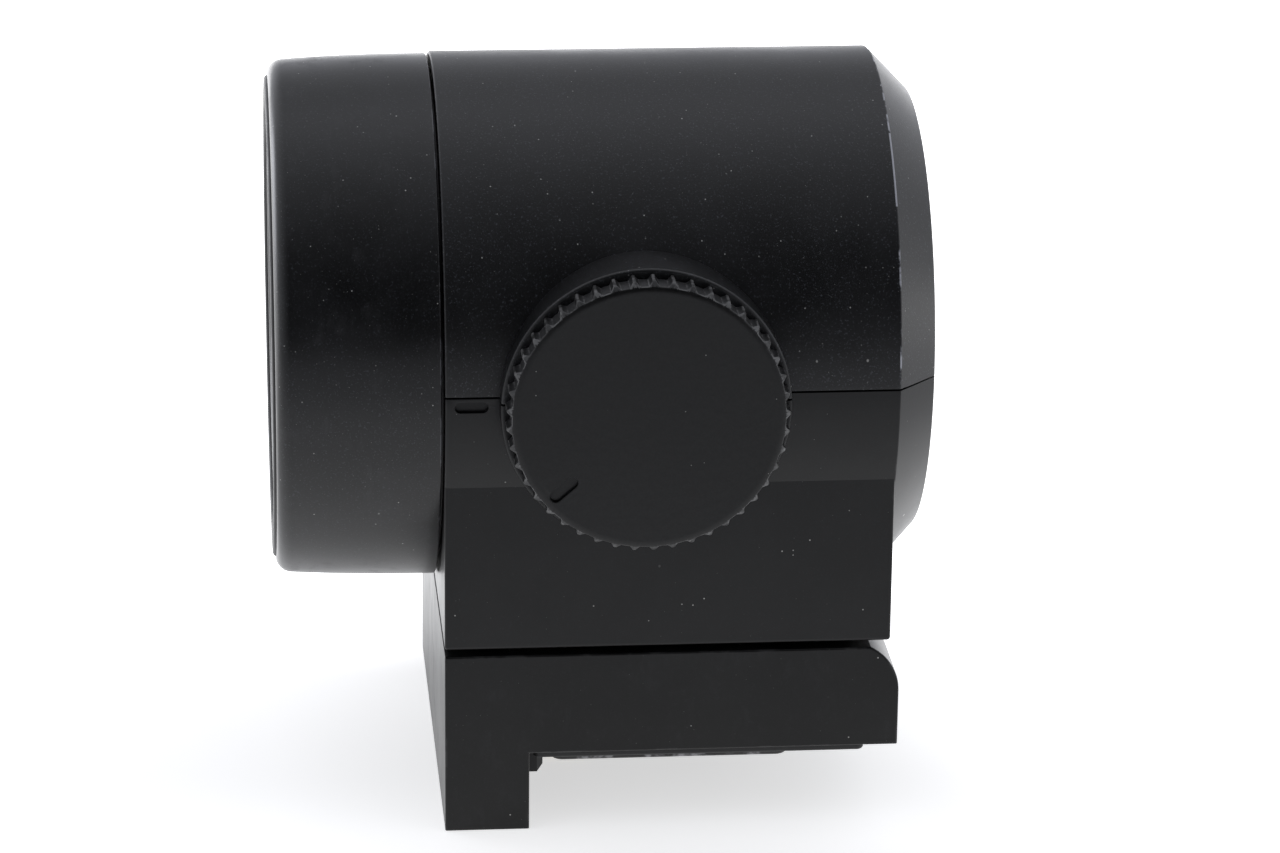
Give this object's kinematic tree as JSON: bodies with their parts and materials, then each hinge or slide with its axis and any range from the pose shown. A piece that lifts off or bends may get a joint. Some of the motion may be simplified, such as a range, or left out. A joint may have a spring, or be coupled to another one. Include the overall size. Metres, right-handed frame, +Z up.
{
  "type": "electronic viewfinder",
  "caption": "Clip-on electronic viewfinder with a tilting barrel head, a side dioptre dial that moves the eyepiece lenses, a shoe foot and a rear connector leg.",
  "frame": {"origin": "centre of the shoe foot's underside, which rests on the camera shoe's floor", "axes": "+X the viewing direction, away from the eyepiece; +Z up, out of the shoe; the dioptre dial is on the -Y side"},
  "size_m": [0.0415, 0.0372, 0.0467],
  "materials": {
    "shell_paint": "satin powder-textured black paint on aluminium",
    "housing_plastic": "fine matte black moulding",
    "ring_coat": "soft satin black coat",
    "base_plastic": "matte black",
    "knob_plastic": "fine leather-grain black",
    "black_anodised": "black anodised",
    "pad_rubber": "matte black rubber",
    "steel": "brushed stainless",
    "black_screw": "black oxide",
    "foot_metal": "black anodised, polished by use on the edges",
    "brass": "machined",
    "circuit_board": "green solder mask",
    "chip_black": "moulded package",
    "flex_film": "amber polyimide film",
    "inner_black": "anti-reflection black",
    "optical_glass": "polished, coated",
    "panel_glass": "dark display glass",
    "backlight_white": "white diffuser housing",
    "contact_gold": "gold-plated"
  },
  "bodies": {
    "base": {"base_shell": "base_plastic", "base_cover": "base_plastic", "cover_screws": "black_screw", "underside_pads": "pad_rubber", "shoe_foot": "foot_metal", "foot_screws": "black_screw", "connector_housing": "chip_black", "connector_tongue": "chip_black", "connector_contacts": "contact_gold", "connector_board": "circuit_board", "base_flex": "flex_film", "hinge_pin": "steel", "friction_washers": "steel", "rest_buffers": "pad_rubber"},
    "head": {"upper_shell": "shell_paint", "lower_housing": "housing_plastic", "eyepiece_ring": "ring_coat", "eyecup_pad": "pad_rubber", "eyepiece_tube": "black_anodised", "eyepiece_window": "optical_glass", "window_retainer": "black_anodised", "eyepiece_screws": "black_screw", "display_chassis": "black_anodised", "shell_screws": "black_screw", "display_holder": "inner_black", "holder_screws": "black_screw", "display_mask": "inner_black", "display_panel": "panel_glass", "backlight_unit": "backlight_white", "display_flex": "flex_film", "front_plate": "shell_paint", "main_board": "circuit_board", "board_components": "chip_black", "board_screws": "black_screw", "hinge_bracket": "steel", "hinge_bushes": "brass", "bracket_screws": "black_screw", "hinge_cover": "housing_plastic", "head_flex": "flex_film", "dial_bush": "brass"},
    "dial": {"dial_knob": "knob_plastic", "dial_shaft": "steel", "dial_circlip": "steel", "dial_washer": "steel", "cam_disc": "brass"},
    "lens_carrier": {"lens_carrier": "inner_black", "guide_key": "brass", "cam_pin": "steel", "eye_lens": "optical_glass", "lens_spacer": "black_anodised", "crown_lens": "optical_glass", "flint_lens": "optical_glass", "lens_retainer": "black_anodised"}
  },
  "joints": [
    {"name": "head_tilt", "type": "hinge", "parent": "base", "child": "head", "pos_m": [0.01061, 0, 0.00709], "axis": [0, 1, 0], "range_deg": [0, 90]},
    {"name": "dioptre_dial", "type": "hinge", "parent": "head", "child": "dial", "pos_m": [-0.0026, 0, 0.02745], "axis": [0, 1, 0], "range_deg": [-49, 131]},
    {"name": "lens_focus", "type": "slide", "parent": "head", "child": "lens_carrier", "axis": [1, 0, 0], "range_m": [-0.00218, 0.00082]}
  ],
  "couplings": [
    {"joint": "dioptre_dial", "follows": "lens_focus", "rad_per_m": -1047.2}
  ]
}
